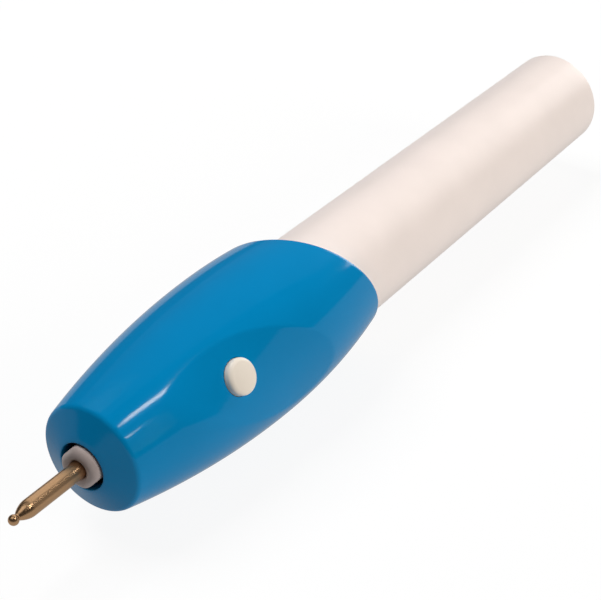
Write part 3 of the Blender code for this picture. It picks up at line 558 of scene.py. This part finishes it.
def finish(name, shade, roughness, spread, grain_mm, bump_mm, metallic=0.0, mottle=0.03, **sockets):
    """A Principled finish: a base colour slightly mottled, and a roughness and fine bump that vary
    with two noise patterns whose sizes are given in millimetres. The grain that a mould or a grinding
    wheel leaves is too fine to show, so it is drawn a few tenths of a millimetre wide."""
    material = bpy.data.materials.new(name)
    material.use_nodes = True
    tree = material.node_tree
    shader = tree.nodes["Principled BSDF"]
    where = [(add(tree, "ShaderNodeTexCoord").outputs["Object"], "Vector")]
    broad = add(tree, "ShaderNodeTexNoise", where, Scale=1 / (grain_mm * BROAD * MM), Detail=3.0)
    fine = add(tree, "ShaderNodeTexNoise", where, Scale=1 / (grain_mm * MM), Detail=2.0)
    base = colour(shade)
    ramp = add(tree, "ShaderNodeValToRGB", [(broad.outputs["Fac"], "Fac")])
    darker, plain = ramp.color_ramp.elements
    darker.position = 0.3
    plain.position = 0.7
    darker.color = tuple(part * (1 - mottle) for part in base[:3]) + (1.0,)
    plain.color = base
    rough = add(tree, "ShaderNodeMapRange", [(broad.outputs["Fac"], "Value")],
                To_Min=max(roughness - spread, LEAST_ROUGHNESS), To_Max=roughness + spread)
    bump = add(tree, "ShaderNodeBump", [(fine.outputs["Fac"], "Height")],
               Strength=1.0, Distance=bump_mm * MM)
    tree.links.new(ramp.outputs["Color"], shader.inputs["Base Color"])
    tree.links.new(rough.outputs["Result"], shader.inputs["Roughness"])
    tree.links.new(bump.outputs["Normal"], shader.inputs["Normal"])
    shader.inputs["Metallic"].default_value = metallic
    for socket, value in sockets.items():
        shader.inputs[socket.replace("_", " ")].default_value = value
    return material


# ---------------------------------------------------------------- stage

def dim_to_the_pen(tree, to_camera, to_pen, target):
    """Set a brightness socket to one value as the camera sees it, and another as light on the pen."""
    sight = add(tree, "ShaderNodeLightPath").outputs["Is Camera Ray"]
    level = add(tree, "ShaderNodeMapRange", [(sight, "Value")], To_Min=to_pen, To_Max=to_camera)
    tree.links.new(level.outputs["Result"], target)


def floor():
    """A plain pale floor, with light of its own so that its shadows stay faint. That light is dimmer
    to the pen than to the camera, so that it doesn't wash out the pen's underside."""
    material = bpy.data.materials.new("pale_paper_floor")
    material.use_nodes = True
    shader = material.node_tree.nodes["Principled BSDF"]
    shader.inputs["Base Color"].default_value = colour("#585858")
    shader.inputs["Roughness"].default_value = 0.9
    shader.inputs["Specular IOR Level"].default_value = 0.1
    shader.inputs["Emission Color"].default_value = (1, 1, 1, 1)
    dim_to_the_pen(material.node_tree, 0.90, 0.42, shader.inputs["Emission Strength"])
    bpy.ops.mesh.primitive_plane_add(size=8)
    item = bpy.context.active_object
    item.name = "floor"
    item.data.materials.append(material)


def room():
    """A pale room, white to the camera and dim to the pen."""
    world = bpy.data.worlds.new("pale_room")
    world.use_nodes = True
    backdrop = world.node_tree.nodes["Background"]
    backdrop.inputs["Color"].default_value = (1, 1, 1, 1)
    dim_to_the_pen(world.node_tree, 1.0, 0.05, backdrop.inputs["Strength"])
    bpy.context.scene.world = world


def lamp(name, direction, distance, size, brightness, along=(0, 1, 0), tint=(1, 1, 1), **sight):
    """A rectangular softbox that faces the pen from a direction, with its second side nearest to the
    direction called along. A brightness of 1 lights a white surface that faces it to plain white. The
    last settings name the kinds of ray that don't see it."""
    light = bpy.data.lights.new(name, "AREA")
    light.shape = "RECTANGLE"
    light.size, light.size_y = size
    light.energy = brightness * (math.pi * distance) ** 2
    light.color = tint
    item = bpy.data.objects.new(name, light)
    toward = Vector(direction).normalized()
    across = Vector(along).cross(toward).normalized()
    item.matrix_world = Matrix((across, toward.cross(across), toward)).transposed().to_4x4()
    item.location = LIT_PLACE + toward * distance
    for kind, seen in sight.items():
        setattr(item, kind, seen)
    bpy.context.scene.collection.objects.link(item)
    return item


def studio(metal):
    """Soft light from above, the right, the rear and the left. Two narrow lamps only show as streaks
    on what is glossy, and three softboxes only show as reflections on the metal tip."""
    warm = (1.0, 0.97, 0.92)
    # name, direction, distance and size in metres, brightness
    lamp("overhead_softbox", (-0.4, 0.0, 0.8), 1.0, (0.6, 0.6), 0.84, visible_glossy=False)
    lamp("right_softbox", (1.0, 0.1, 0.4), 1.1, (0.5, 0.5), 0.61, tint=warm, visible_glossy=False)
    lamp("rear_softbox", (0.1, 1.0, 0.2), 1.1, (0.5, 0.5), 0.33)
    lamp("left_panel", (-0.35, 0.62, 0.70), 1.2, (1.5, 1.5), 0.05)

    streak = {"along": (0.07, 0.17, -0.11), "visible_diffuse": False}
    lamp("streak_lamp", (0.49, 0.24, 0.84), 0.9, (0.065, 0.20), 0.14, **streak)
    lamp("faint_streak_lamp", (0.75, 0.12, 0.63), 0.9, (0.022, 0.10), 0.025, **streak)

    metal_only = bpy.data.collections.new("lit_metal")
    metal_only.objects.link(metal)
    for name, direction, size, brightness in [
        ("metal_side_softbox", (-0.35, 0.66, 0.60), (1.6, 0.8), 0.24),
        ("metal_top_softbox", (-0.20, -0.25, 0.93), (1.0, 0.8), 0.17),
        ("metal_right_softbox", (0.65, 0.68, 0.30), (0.9, 0.9), 0.04),
    ]:
        item = lamp(name, direction, 1.2, size, brightness, visible_diffuse=False)
        item.light_linking.receiver_collection = metal_only


def camera():
    """The camera at its place, turned to its azimuth, elevation and roll, with a long lens."""
    lens = bpy.data.cameras.new("camera")
    lens.sensor_width = 36
    lens.lens = CAMERA_LENS
    lens.clip_start = 0.01
    item = bpy.data.objects.new("camera", lens)
    item.location = CAMERA_PLACE
    turn = Euler((math.radians(90 - CAMERA_ELEVATION), 0, math.radians(CAMERA_AZIMUTH))).to_matrix()
    roll = Euler((0, 0, math.radians(CAMERA_ROLL))).to_matrix()
    item.rotation_euler = (turn @ roll).to_euler()
    bpy.context.scene.collection.objects.link(item)
    bpy.context.scene.camera = item


# ---------------------------------------------------------------- the pen

# ABS from a polished mould: an even, deep blue with thin, sharp highlights
blue = finish("moulded_gloss_abs_blue", "#0084be", roughness=0.10, spread=0.02,
              grain_mm=0.7, bump_mm=0.0005, Specular_IOR_Level=0.20)
# Styrene from a plain mould: a warm white with wide, soft highlights
white = finish("moulded_styrene_white", "#faede7", roughness=0.32, spread=0.04,
               grain_mm=0.6, bump_mm=0.0012)
# Moulded acetal: a cream that is slightly duller than the tube
cream = finish("moulded_acetal_cream", "#f4e9db", roughness=0.38, spread=0.04,
               grain_mm=0.5, bump_mm=0.0015)
# Moulded nylon: a warm grey with a faint grain
grey = finish("moulded_nylon_grey", "#aea09c", roughness=0.42, spread=0.05,
              grain_mm=0.4, bump_mm=0.002)
# Ground steel under a thin gold plate: soft golden reflections
gold = finish("gold_plated_ground_steel", "#d0a67c", roughness=0.30, spread=0.05,
              grain_mm=0.3, bump_mm=0.0006, metallic=1.0)

housing = front_housing(blue)
tube = battery_tube(white)
cap = button(cream)
holder = tip_holder(grey)
tip = engraving_tip(gold)
for piece, node, body, slot in [
    (housing, "front_housing", "handle", "blue_gloss_plastic"),
    (tube, "battery_tube", "tube", "white_plastic"),
    (cap, "button_cap", "button", "cream_plastic"),
    (holder, "tip_holder", "spindle", "grey_plastic"),
    (tip, "engraving_tip", "tip", "gold_metal"),
]:
    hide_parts(node)
    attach(piece, body)
for rib in tube_ribs(white):
    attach(rib, "tube")

# Drawn steel: bright, with a soft grey sheen
steel = finish("drawn_bright_steel", "#b9bbbd", roughness=0.30, spread=0.06,
               grain_mm=0.3, bump_mm=0.001, metallic=1.0)
button_spring(steel)

inner_finishes = {
    # Moulded ABS: near black and satin
    finish("moulded_abs_black", "#1d1d1f", roughness=0.45, spread=0.05,
           grain_mm=0.5, bump_mm=0.002):
        ["nose_bearing", "chassis", "switch_block", "motor_end_bell", "bulkhead"],
    steel:
        ["motor_can", "motor_shaft", "armature_core", "bulkhead_screw_left", "bulkhead_screw_right"],
    # Rolled brass: a yellow sheen
    finish("rolled_spring_brass", "#c8a45a", roughness=0.30, spread=0.05,
           grain_mm=0.3, bump_mm=0.001, metallic=1.0):
        ["switch_contact_front", "switch_contact_rear", "contact_bridge"],
    # Nickel plate: the brightest of the metals, slightly warm
    finish("nickel_plated_strip", "#c9c5bb", roughness=0.22, spread=0.05,
           grain_mm=0.3, bump_mm=0.001, metallic=1.0):
        ["motor_terminal_upper", "motor_terminal_lower", "front_contact", "return_contact",
         "return_strip", "rear_plate", "rear_spring"],
    # Sintered bronze: a dull brown, finely pitted
    finish("sintered_bronze", "#9a7446", roughness=0.50, spread=0.06,
           grain_mm=0.2, bump_mm=0.003, metallic=1.0):
        ["motor_front_bush", "motor_rear_bush"],
    # Enamelled copper: a dark orange with a soft shine
    finish("enamelled_copper", "#b8683a", roughness=0.30, spread=0.05,
           grain_mm=0.2, bump_mm=0.002, metallic=1.0):
        ["brush_upper", "brush_lower", "winding_1", "winding_2", "winding_3", "commutator"],
    # Pressed ferrite: a flat charcoal
    finish("pressed_ferrite", "#3a3a3c", roughness=0.65, spread=0.06,
           grain_mm=0.3, bump_mm=0.003):
        ["magnet_left", "magnet_right"],
    # Shrunk plastic film: a smooth, shiny navy
    finish("plain_shrink_film_navy", "#27324a", roughness=0.28, spread=0.04,
           grain_mm=0.6, bump_mm=0.001):
        ["cell_front", "cell_rear"],
    # Extruded PVC: a soft sheen along the wires
    finish("extruded_pvc_red", "#a8201c", roughness=0.40, spread=0.04,
           grain_mm=0.4, bump_mm=0.002):
        ["lead_switch_to_motor", "lead_battery_to_switch"],
    finish("extruded_pvc_black", "#19191a", roughness=0.40, spread=0.04,
           grain_mm=0.4, bump_mm=0.002):
        ["lead_motor_to_return"],
}
for material, names in inner_finishes.items():
    for name in names:
        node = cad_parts[name]
        node.data.materials.clear()
        node.data.materials.append(material)

floor()
room()
studio(tip)
camera()
bpy.context.scene.view_settings.view_transform = "Standard"
